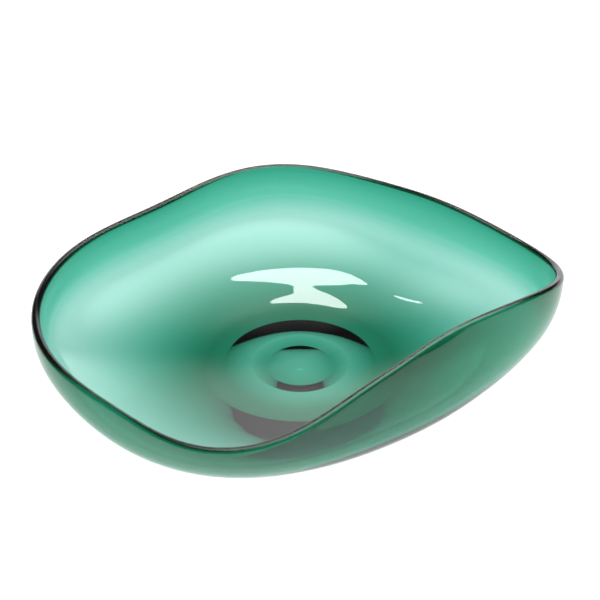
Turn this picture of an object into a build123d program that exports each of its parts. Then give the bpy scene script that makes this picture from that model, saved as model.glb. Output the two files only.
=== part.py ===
from build123d import *
import os
from math import cos, pi, radians, sin, tan

# Free-form blown glass bowl, millimetres.
# +Z is up, the table is z = 0, and the origin is the centre of the ring that the bowl stands on.
# Plan angles are counter-clockwise from +X, and the folded-up side faces the -45 degree direction.
#
# The bowl is one piece of glass, fused hot. Its four nodes are the gathers and stages it is made of:
#   base_pad     thick disc under the bowl, pushed up in the middle so that only a ring touches down
#   pontil_seal  button of glass left by the punty in that hollow, with a ground and polished dish
#   bowl_wall    blown wall, heavy and low at the heel, thin and turned up all round
#   rim_lip      fire-polished lip, a little thicker than the wall under it

# ---- driving dimensions ----
foot_radius = 76.0          # outer edge of the ring that touches the table
foot_ring_width = 14.0      # flat, ground part of that ring
kick_height = 5.2           # how far the middle of the underside is pushed up
kick_edge_angle = 15.0      # slope of that hollow where it meets the ring, degrees
floor_centre_height = 12.5  # top of the glass over the middle of the base
floor_ease = 24.0           # how far the inside floor keeps its slope before rising to that middle

base_thickness = 16.0       # wall thickness where it leaves the base
wall_thickness = 3.8        # thinnest, half-way up
lip_thickness = 7.0         # at the lip
heel_run = 130.0            # how far out from the foot the heavy heel thins down to the wall
lip_swell = 6               # how late the wall swells to the lip: a higher number is nearer the rim
foot_turn = 2               # how soon the way through the glass leaves the upright of the foot

heel_angle = 10.5           # slope of the lower part of the section, degrees
heel_rise = 15.5            # how far the heel lifts the wall besides that slope
heel_spread = 1.7           # a higher number lifts it nearer the foot
floor_reach = 0.60          # how far out the lower part of the section pulls, from foot to belly
belly_lift = 0.108          # height of the belly control point, as a part of the rim height
outline_shift = -23.0       # the outline was pulled this far off the foot, along Y

# Rim and belly at equal steps of plan angle, starting at +X:
# (rim radius, rim height over the heel rise, belly radius). The radii are about the middle of the
# outline. The belly radius is the corner that the section turns up towards; where it is larger than
# the rim radius, the wall leans in.
stations = [
    (200, 84, 203),
    (207, 64, 209),
    (188, 68, 192),
    (193, 64, 197),
    (205, 65, 208),   # back corner
    (199, 64, 203),
    (190, 63, 197),
    (203, 63, 209),
    (209, 62, 215),   # left corner
    (200, 61, 205),
    (189, 61, 200),
    (194, 63, 181),   # front corner
    (168, 70, 166),
    (139, 83, 159),
    (131, 89, 162),   # middle of the folded-up side
    (152, 95, 179),   # highest part of the rim
]

pontil_face_radius = 27.5   # flat underside of the button left by the punty
pontil_face_height = 1.6    # which stays clear of the table
pontil_flank_angle = 15.0   # its side slopes up to meet the hollow at about 38 mm radius, degrees
dish_radius = 26.0          # ground dish in the button
dish_depth = 2.6

lip_start = 0.94            # where the lip begins, as a part of the section from foot to rim
wall_rings = 13             # section rings lofted through for each face of the wall
lip_rings = 3               # section rings on each face of the lip, below its crest
crest_rings = 7             # rings over the round crest
ring_points = 48            # points on each ring


# ---- shape of the blown wall ----
def around(column, angle):
    """Smooth periodic curve through one column of the stations, at a plan angle in radians."""
    count = len(stations)
    total = 0.0
    for i, station in enumerate(stations):
        turn = angle - 2 * pi * i / count
        half = (turn % (2 * pi)) / 2
        if abs(sin(half)) < 1e-9:
            return float(station[column])
        total += station[column] * sin(count * half) * cos(half) / (count * sin(half))
    return total


def outer_point(t, angle):
    """Outside of the wall: t runs from 0 at the foot ring to 1 at the rim."""
    ray = Vector(cos(angle), sin(angle))
    middle = Vector(0, outline_shift)
    foot = ray * foot_radius
    belly = middle + ray * around(2, angle)
    rim = middle + ray * around(0, angle)
    rim_height = around(1, angle)
    reach = (belly - foot) * floor_reach
    controls = [
        foot,
        foot + reach + Vector(0, 0, reach.length * tan(radians(heel_angle))),
        belly + Vector(0, 0, belly_lift * rim_height),
        rim + Vector(0, 0, rim_height),
    ]
    weights = [(1 - t) ** 3, 3 * t * (1 - t) ** 2, 3 * t * t * (1 - t), t ** 3]
    point = sum((c * w for w, c in zip(weights, controls)), Vector())
    return point + Vector(0, 0, heel_rise * (1 - abs(1 - t) ** heel_spread))


def directions(t, angle):
    """Unit vector up the section, and the way through the glass into the bowl.

    That way is square to the wall, but turns upright at the foot, where the wall meets the base.
    """
    step = 1e-4
    up = (outer_point(t + step, angle) - outer_point(t - step, angle)).normalized()
    along = outer_point(t, angle + step) - outer_point(t, angle - step)
    upright = abs(1 - t) ** foot_turn
    inward = up.cross(along).normalized() * (1 - upright) + Vector(0, 0, 1) * upright
    inward = inward.normalized()
    return along.cross(inward).normalized(), inward


def thickness(t, angle):
    """Glass thickness along the section: thick at the base, thin half-way, full at the lip."""
    run = (outer_point(t, angle) - outer_point(0.0, angle)).length
    heel = max(0.0, 1 - run / heel_run) ** 2
    return (wall_thickness + (base_thickness - wall_thickness) * heel
            + (lip_thickness - wall_thickness) * t ** lip_swell)


def skin_point(t, angle, depth):
    """Point in the wall: depth 0 is the outside face and depth 1 the inside face."""
    inward = directions(t, angle)[1]
    return outer_point(t, angle) + inward * (depth * thickness(t, angle))


def lip_point(swing, angle):
    """Point on the round crest: swing runs from 0 at the outside face to 180 at the inside."""
    up, inward = directions(1.0, angle)
    radius = lip_thickness / 2
    return (outer_point(1.0, angle) + inward * radius * (1 - cos(radians(swing)))
            + up * radius * sin(radians(swing)))


def ring(point_at):
    """Closed smooth ring through the points that point_at gives at each plan angle."""
    angles = [2 * pi * i / ring_points for i in range(ring_points)]
    return Wire([Edge.make_spline([point_at(a) for a in angles], periodic=True)])


def skin_ring(t, depth):
    return ring(lambda angle: skin_point(t, angle, depth))


def solid_between(*shells):
    """Solid closed by shells that share their end rings."""
    faces = [face for shell in shells for face in shell.faces()]
    return Solid(Shell(faces))


# ---- blown wall, from the foot to just below the lip ----
def make_bowl_wall():
    steps = [lip_start * i / (wall_rings - 1) for i in range(wall_rings)]
    outside = [skin_ring(t, 0) for t in steps]
    inside = [skin_ring(t, 1) for t in steps]
    return solid_between(
        Shell.make_loft(outside),
        Shell.make_loft(inside),
        Shell.make_loft([outside[0], inside[0]], ruled=True),
        Shell.make_loft([outside[-1], inside[-1]], ruled=True),
    )


# ---- fire-polished lip ----
def make_rim_lip():
    steps = [lip_start + (1 - lip_start) * i / lip_rings for i in range(lip_rings)]
    swings = [180 * i / (crest_rings - 1) for i in range(crest_rings)]
    rings = [skin_ring(t, 0) for t in steps]
    rings += [ring(lambda angle, s=swing: lip_point(s, angle)) for swing in swings]
    rings += [skin_ring(t, 1) for t in reversed(steps)]
    return solid_between(
        Shell.make_loft(rings),
        Shell.make_loft([rings[0], rings[-1]], ruled=True),
    )


# ---- base ----
def kick_curve():
    """Underside of the base inside the foot ring, from the middle to the ring: a shallow dome."""
    ring_inner = foot_radius - foot_ring_width
    edge_run = ring_inner / 3
    return Bezier(
        (0, kick_height),
        (0.5 * ring_inner, kick_height),
        (ring_inner - edge_run, edge_run * tan(radians(kick_edge_angle))),
        (ring_inner, 0),
    )


def make_base_pad():
    edge = (foot_radius, base_thickness)
    next_up = skin_point(0.01, 0.0, 1.0)
    slope = Vector(next_up.X - foot_radius, next_up.Z - base_thickness).normalized()
    ease = Vector(*edge) - slope * floor_ease
    floor = Bezier(edge, ease, (floor_ease, floor_centre_height), (0, floor_centre_height))
    outline = [
        kick_curve(),
        Line((foot_radius - foot_ring_width, 0), (foot_radius, 0)),
        Line((foot_radius, 0), edge),
        floor,
        Line((0, floor_centre_height), (0, kick_height)),
    ]
    section = Plane.XZ * make_face(Wire(outline).edges())
    return revolve(section, Axis.Z)


def make_pontil_seal(base):
    into_base = 2.0
    height = kick_height + into_base - pontil_face_height
    top_radius = pontil_face_radius + height / tan(radians(pontil_flank_angle))
    button = Pos(0, 0, pontil_face_height) * Cone(
        pontil_face_radius, top_radius, height, align=(Align.CENTER, Align.CENTER, Align.MIN))
    dish_sphere_radius = (dish_radius ** 2 + dish_depth ** 2) / (2 * dish_depth)
    dish = Pos(0, 0, pontil_face_height + dish_depth - dish_sphere_radius) * Sphere(dish_sphere_radius)
    return button - base - dish


def main():
    os.makedirs("parts", exist_ok=True)
    base_pad = make_base_pad()
    nodes = {
        "bowl_wall": make_bowl_wall(),
        "rim_lip": make_rim_lip(),
        "base_pad": base_pad,
        "pontil_seal": make_pontil_seal(base_pad),
    }
    for name, shape in nodes.items():
        export_step(shape, f"parts/{name}.step")


main()
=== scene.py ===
import math

import bpy
import numpy as np
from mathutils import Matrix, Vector


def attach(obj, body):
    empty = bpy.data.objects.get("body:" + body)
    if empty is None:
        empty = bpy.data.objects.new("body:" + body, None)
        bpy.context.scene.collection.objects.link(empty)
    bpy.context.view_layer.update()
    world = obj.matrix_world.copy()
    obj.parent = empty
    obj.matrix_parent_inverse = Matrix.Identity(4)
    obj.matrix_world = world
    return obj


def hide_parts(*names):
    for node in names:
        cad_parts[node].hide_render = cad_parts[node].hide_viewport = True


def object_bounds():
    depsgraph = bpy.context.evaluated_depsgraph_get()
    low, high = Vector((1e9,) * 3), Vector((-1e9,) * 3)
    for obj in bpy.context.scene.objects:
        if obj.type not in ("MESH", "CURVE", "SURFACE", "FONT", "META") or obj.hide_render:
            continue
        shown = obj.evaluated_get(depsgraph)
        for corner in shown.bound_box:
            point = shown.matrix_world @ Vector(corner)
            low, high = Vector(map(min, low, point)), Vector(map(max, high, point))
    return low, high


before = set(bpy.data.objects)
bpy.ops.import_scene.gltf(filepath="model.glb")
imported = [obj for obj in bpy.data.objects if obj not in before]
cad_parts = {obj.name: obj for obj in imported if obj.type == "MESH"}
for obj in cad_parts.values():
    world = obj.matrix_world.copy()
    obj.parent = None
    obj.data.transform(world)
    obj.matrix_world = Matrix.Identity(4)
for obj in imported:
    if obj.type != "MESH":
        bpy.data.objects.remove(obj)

cad_box = [list(corner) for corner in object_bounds()]

# Free-form blown glass bowl. Lengths of the bowl are millimetres in the CAD's own frame, and its
# finished mesh is brought to metres. Everything about the floor, the light and the camera is in metres.

# ---- driving dimensions, as in the CAD ----
FOOT_RADIUS = 76.0
FOOT_RING_WIDTH = 14.0
KICK_HEIGHT = 5.2
KICK_EDGE_SLOPE = math.radians(15.0)
FLOOR_CENTRE_HEIGHT = 12.5
FLOOR_EASE = 24.0
BASE_THICKNESS = 16.0
WALL_THICKNESS = 3.8
LIP_THICKNESS = 7.0
HEEL_RUN = 130.0
LIP_SWELL = 6
FOOT_TURN = 2
HEEL_SLOPE = math.radians(10.5)
HEEL_RISE = 15.5
HEEL_SPREAD = 1.7
FLOOR_REACH = 0.60
BELLY_LIFT = 0.108
OUTLINE_MIDDLE = np.array([0.0, -23.0])
PONTIL_FACE_RADIUS = 27.5
PONTIL_FACE_HEIGHT = 1.6
PONTIL_FLANK_SLOPE = math.radians(15.0)
DISH_RADIUS = 26.0
DISH_DEPTH = 2.6

# rim radius, rim height, belly radius at equal steps of plan angle, starting at +X
STATIONS = np.array([
    (200, 84, 203), (207, 64, 209), (188, 68, 192), (193, 64, 197),
    (205, 65, 208), (199, 64, 203), (190, 63, 197), (203, 63, 209),
    (209, 62, 215), (200, 61, 205), (189, 61, 200), (194, 63, 181),
    (168, 70, 166), (139, 83, 159), (131, 89, 162), (152, 95, 179),
], float)

# ---- mesh ----
ANGLE_STEPS = 288
WALL_STEPS = 72
LIP_STEPS = 14
DISH_STEPS = 24
DOME_STEPS = 60
FLOOR_STEPS = 36
CORNER_STEPS = 5
FIRST_RING = 1.0        # radius of the ring nearest to the middle of the underside
FLOOR_END = 0.98        # place along the floor's curve of the ring nearest to its middle
GROUND_EDGE = 0.4       # size of the rounding at the edge of the ground dish
DISH_EDGE_ROOM = 0.6    # how far the dish's rings stop short of that edge
MELTED_EDGE = 0.8       # size of the rounding at the button's other edges
FOOT_EDGE = 1.0         # size of the rounding inside the foot ring
NEARBY = 1e-4           # step along the wall and round it, for its directions
METRES = 0.001
SHRINK = 0.9995         # keeps the finer mesh inside the CAD model's box
ANGLES = np.arange(ANGLE_STEPS) * (2 * math.pi / ANGLE_STEPS)


# ---- shape of the wall ----
def around(column, angles):
    """Smooth periodic curve through one column of the stations."""
    count = len(STATIONS)
    half = (angles[:, None] - 2 * math.pi * np.arange(count) / count) % (2 * math.pi) / 2
    on_station = np.abs(np.sin(half)) < 1e-9
    safe = np.where(on_station, 1.0, np.sin(half))
    weight = np.where(on_station, 1.0, np.sin(count * half) * np.cos(half) / (count * safe))
    return weight @ STATIONS[:, column]


def outer_point(t, angles):
    """Outside of the wall: t runs from 0 at the foot ring to 1 at the rim."""
    rim_radius, rim_height, belly_radius = (around(c, angles)[:, None] for c in range(3))
    ray = np.stack([np.cos(angles), np.sin(angles)], axis=1)
    foot = ray * FOOT_RADIUS
    belly = OUTLINE_MIDDLE + ray * belly_radius
    rim = OUTLINE_MIDDLE + ray * rim_radius
    reach = (belly - foot) * FLOOR_REACH
    reach_height = np.linalg.norm(reach, axis=1, keepdims=True) * math.tan(HEEL_SLOPE)
    weights = ((1 - t) ** 3, 3 * t * (1 - t) ** 2, 3 * t * t * (1 - t), t ** 3)
    plan = sum(w * p for w, p in zip(weights, (foot, foot + reach, belly, rim)))
    heights = (0.0, reach_height, BELLY_LIFT * rim_height, rim_height)
    height = sum(w * h for w, h in zip(weights, heights))
    return np.hstack([plan, height + HEEL_RISE * (1 - abs(1 - t) ** HEEL_SPREAD)])


def unit(vectors):
    return vectors / np.linalg.norm(vectors, axis=1, keepdims=True)


def directions(t, angles):
    """Unit vectors up the section, and through the glass into the bowl.

    The second is square to the wall, but turns upright at the foot, where the wall meets the base.
    """
    up = unit(outer_point(t + NEARBY, angles) - outer_point(t - NEARBY, angles))
    along = unit(outer_point(t, angles + NEARBY) - outer_point(t, angles - NEARBY))
    upright = abs(1 - t) ** FOOT_TURN
    inward = unit(unit(np.cross(up, along)) * (1 - upright) + np.array([0, 0, 1]) * upright)
    return unit(np.cross(along, inward)), inward


def thickness(t):
    """Thick at the base, thin half-way, full again at the lip."""
    run = np.linalg.norm(outer_point(t, ANGLES) - outer_point(0.0, ANGLES), axis=1, keepdims=True)
    heel = np.clip(1 - run / HEEL_RUN, 0, 1) ** 2
    return (WALL_THICKNESS + (BASE_THICKNESS - WALL_THICKNESS) * heel
            + (LIP_THICKNESS - WALL_THICKNESS) * t ** LIP_SWELL)


def skin_ring(t, depth):
    """Ring of the wall: depth 0 is the outside face and depth 1 the inside face."""
    return outer_point(t, ANGLES) + directions(t, ANGLES)[1] * (depth * thickness(t))


def lip_ring(swing):
    """Ring on the round crest, from 0 at the outside face to pi at the inside face."""
    up, inward = directions(1.0, ANGLES)
    radius = LIP_THICKNESS / 2
    return (outer_point(1.0, ANGLES) + inward * (radius * (1 - math.cos(swing)))
            + up * (radius * math.sin(swing)))


def round_ring(r, z):
    return np.stack([r * np.cos(ANGLES), r * np.sin(ANGLES), np.full(ANGLE_STEPS, z)], axis=1)


# ---- round parts of the section, as (radius, height) ----
def rounded(corner, before, after, size):
    """Corner of an outline, rounded by a small curve."""
    corner, before, after = (np.array(p, float) for p in (corner, before, after))
    start = corner + (before - corner) / np.linalg.norm(before - corner) * size
    end = corner + (after - corner) / np.linalg.norm(after - corner) * size
    return [tuple((1 - s) ** 2 * start + 2 * s * (1 - s) * corner + s * s * end)
            for s in np.linspace(0, 1, CORNER_STEPS)]


def bezier(controls, s):
    """Point, or ring of points, at s along a cubic."""
    weights = ((1 - s) ** 3, 3 * s * (1 - s) ** 2, 3 * s * s * (1 - s), s ** 3)
    return sum(w * np.array(c, float) for w, c in zip(weights, controls))


def underside():
    """Outline of the underside, from the middle of the pontil dish to the foot ring."""
    dish = [(r, PONTIL_FACE_HEIGHT + DISH_DEPTH * (1 - (r / DISH_RADIUS) ** 2))
            for r in np.linspace(FIRST_RING, DISH_RADIUS - DISH_EDGE_ROOM, DISH_STEPS)]
    ring_inner = FOOT_RADIUS - FOOT_RING_WIDTH
    edge_run = ring_inner / 3
    dome_controls = [(0, KICK_HEIGHT), (0.5 * ring_inner, KICK_HEIGHT),
                     (ring_inner - edge_run, edge_run * math.tan(KICK_EDGE_SLOPE)), (ring_inner, 0)]
    dome = np.array([bezier(dome_controls, s) for s in np.linspace(0, 1, DOME_STEPS)])
    flank = PONTIL_FACE_HEIGHT + (dome[:, 0] - PONTIL_FACE_RADIUS) * math.tan(PONTIL_FLANK_SLOPE)
    dome = [tuple(p) for p, z in zip(dome, flank) if z > p[1]]
    dish_edge = (DISH_RADIUS, PONTIL_FACE_HEIGHT)
    face_edge = (PONTIL_FACE_RADIUS, PONTIL_FACE_HEIGHT)
    outline = dish
    outline += rounded(dish_edge, dish[-1], face_edge, GROUND_EDGE)
    outline += rounded(face_edge, dish_edge, dome[0], MELTED_EDGE)
    outline += rounded(dome[0], face_edge, dome[1], MELTED_EDGE)
    outline += dome[2:-1]
    outline += rounded((ring_inner, 0.0), dome[-2], (FOOT_RADIUS, 0.0), FOOT_EDGE)
    return outline


def floor_rings():
    """Rings of the inside floor, from the wall to the middle."""
    edge, next_up = skin_ring(0.0, 1.0), skin_ring(0.01, 1.0)
    controls = [edge, edge - unit(next_up - edge) * FLOOR_EASE,
                round_ring(FLOOR_EASE, FLOOR_CENTRE_HEIGHT), round_ring(0.0, FLOOR_CENTRE_HEIGHT)]
    return [bezier(controls, s) for s in np.linspace(0, FLOOR_END, FLOOR_STEPS)[1:]]


def bowl_rings():
    """Closed rings from the middle of the underside, over the lip, to the middle of the floor.

    Beside each ring stands its place up the wall: 0 in the base, 1 at the lip.
    """
    steps = np.linspace(0, 1, WALL_STEPS)
    base_rings = [round_ring(r, z) for r, z in underside()]
    crest_rings = [lip_ring(math.pi * i / LIP_STEPS) for i in range(1, LIP_STEPS)]
    middle_rings = floor_rings()
    rings = base_rings + [skin_ring(t, 0.0) for t in steps] + crest_rings
    rings += [skin_ring(t, 1.0) for t in steps[::-1]] + middle_rings
    heights = np.concatenate([np.zeros(len(base_rings)), steps, np.ones(len(crest_rings)),
                              steps[::-1], np.zeros(len(middle_rings))])
    return rings, heights


def bowl_mesh(name):
    rings, heights = bowl_rings()
    bottom = (0.0, 0.0, PONTIL_FACE_HEIGHT + DISH_DEPTH)
    top = (0.0, 0.0, FLOOR_CENTRE_HEIGHT)
    points = np.concatenate(rings + [[bottom, top]]) * (METRES * SHRINK)
    points = np.clip(points, *np.array(cad_box))
    faces = []
    n = ANGLE_STEPS
    for row in range(len(rings) - 1):
        a, b = row * n, (row + 1) * n
        faces += [(a + i, a + (i + 1) % n, b + (i + 1) % n, b + i) for i in range(n)]
    last = (len(rings) - 1) * n
    low, high = len(points) - 2, len(points) - 1
    faces += [(low, (i + 1) % n, i) for i in range(n)]
    faces += [(last + i, last + (i + 1) % n, high) for i in range(n)]
    mesh = bpy.data.meshes.new(name)
    mesh.from_pydata(points.tolist(), [], faces)
    mesh.validate()
    mesh.polygons.foreach_set("use_smooth", [True] * len(mesh.polygons))
    up_wall = mesh.attributes.new("up_wall", "FLOAT", "POINT")
    up_wall.data.foreach_set("value", np.append(np.repeat(heights, ANGLE_STEPS), [0, 0]))
    return mesh


# ---- materials ----
# Painted shade: the glass is one green throughout, and this ramp darkens its colour towards the rim in
# place of the darker band that light bent and carried through the glass there gives.
RIM_PAINTED_SHADE = [            # place up the wall, and what the glass lets through there: painted shade, darker towards the rim
    (0.0, (1, 1, 1, 1)), (0.62, (1, 1, 1, 1)), (0.86, (0.36, 0.76, 0.66, 1)),
    (1.0, (0.25, 0.66, 0.56, 1)),
]
WHITE = (1, 1, 1, 1)
FLOOR_GREY = (0.25, 0.25, 0.25, 1)
ABSORBED_TO = (0.04, 0.635, 0.51, 1)


def set_inputs(node, values):
    for socket, value in values.items():
        node.inputs[socket].default_value = value


def waviness(nodes, links):
    """Faint rings and swirls left in the surface by turning the hot glass."""
    place = nodes.new("ShaderNodeTexCoord").outputs["Object"]
    warp = nodes.new("ShaderNodeTexNoise")
    set_inputs(warp, {"Scale": 9.0, "Detail": 1.0})
    links.new(place, warp.inputs["Vector"])
    swirl = nodes.new("ShaderNodeMix")
    swirl.data_type = "VECTOR"
    set_inputs(swirl, {"Factor": 0.02})
    links.new(place, swirl.inputs["A"])
    links.new(warp.outputs["Color"], swirl.inputs["B"])
    rings = nodes.new("ShaderNodeTexWave")
    rings.wave_type = "RINGS"
    rings.rings_direction = "Z"
    set_inputs(rings, {"Scale": 26.0, "Distortion": 3.0, "Detail": 2.0, "Detail Scale": 0.6})
    links.new(swirl.outputs["Result"], rings.inputs["Vector"])
    bump = nodes.new("ShaderNodeBump")
    set_inputs(bump, {"Strength": 0.006, "Distance": 0.0004})
    links.new(rings.outputs["Fac"], bump.inputs["Height"])
    return bump.outputs["Normal"]


def green_glass():
    """Clear green glass with painted shade: its colour turns deeper green towards the rim, standing in
    for the long light path through the glass near the lip, with the faint waviness of blown work.
    """
    material = bpy.data.materials.new("green_glass")
    material.use_nodes = True
    nodes, links = material.node_tree.nodes, material.node_tree.links
    shader = nodes["Principled BSDF"]
    up_wall = nodes.new("ShaderNodeAttribute")
    up_wall.attribute_name = "up_wall"
    # painted shade: the base colour turns deeper green towards the rim, by place up the wall
    rim_painted_shade = nodes.new("ShaderNodeValToRGB")
    rim_painted_shade.color_ramp.interpolation = "EASE"
    while len(rim_painted_shade.color_ramp.elements) < len(RIM_PAINTED_SHADE):
        rim_painted_shade.color_ramp.elements.new(0.5)
    for element, (place, color) in zip(rim_painted_shade.color_ramp.elements, RIM_PAINTED_SHADE):
        element.position = place
        element.color = color
    links.new(up_wall.outputs["Fac"], rim_painted_shade.inputs["Fac"])
    links.new(rim_painted_shade.outputs["Color"], shader.inputs["Base Color"])
    links.new(waviness(nodes, links), shader.inputs["Normal"])
    set_inputs(shader, {"Roughness": 0.0, "IOR": 1.5, "Transmission Weight": 1.0})
    volume = nodes.new("ShaderNodeVolumeAbsorption")
    set_inputs(volume, {"Color": ABSORBED_TO, "Density": 260.0})
    links.new(volume.outputs["Volume"], nodes["Material Output"].inputs["Volume"])
    return material


def floor_material():
    """Pale floor that glows a little, as evenly lit paper does."""
    material = bpy.data.materials.new("pale_floor")
    material.use_nodes = True
    set_inputs(material.node_tree.nodes["Principled BSDF"], {
        "Base Color": FLOOR_GREY, "Roughness": 0.9, "Emission Color": WHITE, "Emission Strength": 1.0})
    return material


# ---- bowl ----
bowl = bpy.data.objects.new("glass_bowl", bowl_mesh("glass_bowl"))
bpy.context.collection.objects.link(bowl)
bowl.data.materials.append(green_glass())
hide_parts("bowl_wall", "rim_lip", "base_pad", "pontil_seal")
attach(bowl, "root")

# ---- floor, light and camera ----
FLOOR_SIZE = 40
FLOOR_DROP = 0.0004     # keeps the floor off the foot ring, which would shine where they touch
ROOM = 0.1              # strength of the dim room all round
SOFT_LIGHTS = [         # towards, edge and core half-angles in degrees, strength
    ((0.18, 0.15, 1.0), 44, 10, 3.6),
    ((0.0, 1.0, 0.10), 32, 24, 1.7),
]

bpy.ops.mesh.primitive_plane_add(size=FLOOR_SIZE)
floor = bpy.context.object
floor.name = "floor"
floor.data.materials.append(floor_material())
floor.location.z = -FLOOR_DROP


def studio_world():
    """Dim room with soft patches of light: an overhead diffuser and a pale backdrop."""
    world = bpy.data.worlds.new("studio")
    world.use_nodes = True
    nodes, links = world.node_tree.nodes, world.node_tree.links
    direction = nodes.new("ShaderNodeTexCoord").outputs["Generated"]
    total = None
    for towards, edge, core, strength in SOFT_LIGHTS:
        facing = nodes.new("ShaderNodeVectorMath")
        facing.operation = "DOT_PRODUCT"
        facing.inputs[1].default_value = Vector(towards).normalized()
        links.new(direction, facing.inputs[0])
        patch = nodes.new("ShaderNodeMapRange")
        patch.interpolation_type = "SMOOTHSTEP"
        patch.inputs["From Min"].default_value = math.cos(math.radians(edge))
        patch.inputs["From Max"].default_value = math.cos(math.radians(core))
        patch.inputs["To Max"].default_value = strength
        links.new(facing.outputs["Value"], patch.inputs["Value"])
        add = nodes.new("ShaderNodeMath")
        add.operation = "ADD"
        add.inputs[1].default_value = ROOM
        links.new(patch.outputs["Result"], add.inputs[0])
        if total:
            links.new(total, add.inputs[1])
        total = add.outputs["Value"]
    set_inputs(nodes["Background"], {"Color": WHITE})
    links.new(total, nodes["Background"].inputs["Strength"])
    return world


def softbox(name, azimuth, elevation, distance, width, height, radiance):
    """Elliptical lamp aimed at the bowl. Azimuth is measured from +Y, clockwise from above."""
    lamp = bpy.data.lights.new(name, "AREA")
    lamp.shape = "ELLIPSE"
    lamp.size, lamp.size_y = width, height
    lamp.energy = radiance * math.pi * width * height
    holder = bpy.data.objects.new(name, lamp)
    bpy.context.collection.objects.link(holder)
    holder.location = distance * Vector((
        math.sin(azimuth) * math.cos(elevation), math.cos(azimuth) * math.cos(elevation),
        math.sin(elevation)))
    holder.rotation_mode = "QUATERNION"
    holder.rotation_quaternion = (-holder.location).to_track_quat("-Z", "Y")
    holder.visible_camera = False


bpy.context.scene.world = studio_world()
softbox("back_softbox", azimuth=math.radians(-0.8), elevation=math.radians(50.2),
        distance=4.0, width=0.68, height=0.24, radiance=9.0)

FOCAL_LENGTH = 151.4    # millimetres
CAMERA_DISTANCE = 2.0
CAMERA_ELEVATION = math.radians(37.0)
CAMERA_PIVOT = Vector((0.0, -0.023, 0.0155))
CAMERA_TARGET = CAMERA_PIVOT + Vector((0.0, 0.035, 0.047))
camera = bpy.data.objects.new("camera", bpy.data.cameras.new("camera"))
bpy.context.collection.objects.link(camera)
camera.data.lens = FOCAL_LENGTH
camera.location = CAMERA_PIVOT + CAMERA_DISTANCE * Vector(
    (0, -math.cos(CAMERA_ELEVATION), math.sin(CAMERA_ELEVATION)))
camera.rotation_mode = "QUATERNION"
camera.rotation_quaternion = (CAMERA_TARGET - camera.location).to_track_quat("-Z", "Y")
bpy.context.scene.camera = camera

GLASS_BOUNCES = 24
GLOSSY_BOUNCES = 12
scene = bpy.context.scene
scene.view_settings.view_transform = "Standard"
scene.cycles.max_bounces = GLASS_BOUNCES
scene.cycles.transmission_bounces = GLASS_BOUNCES
scene.cycles.glossy_bounces = GLOSSY_BOUNCES
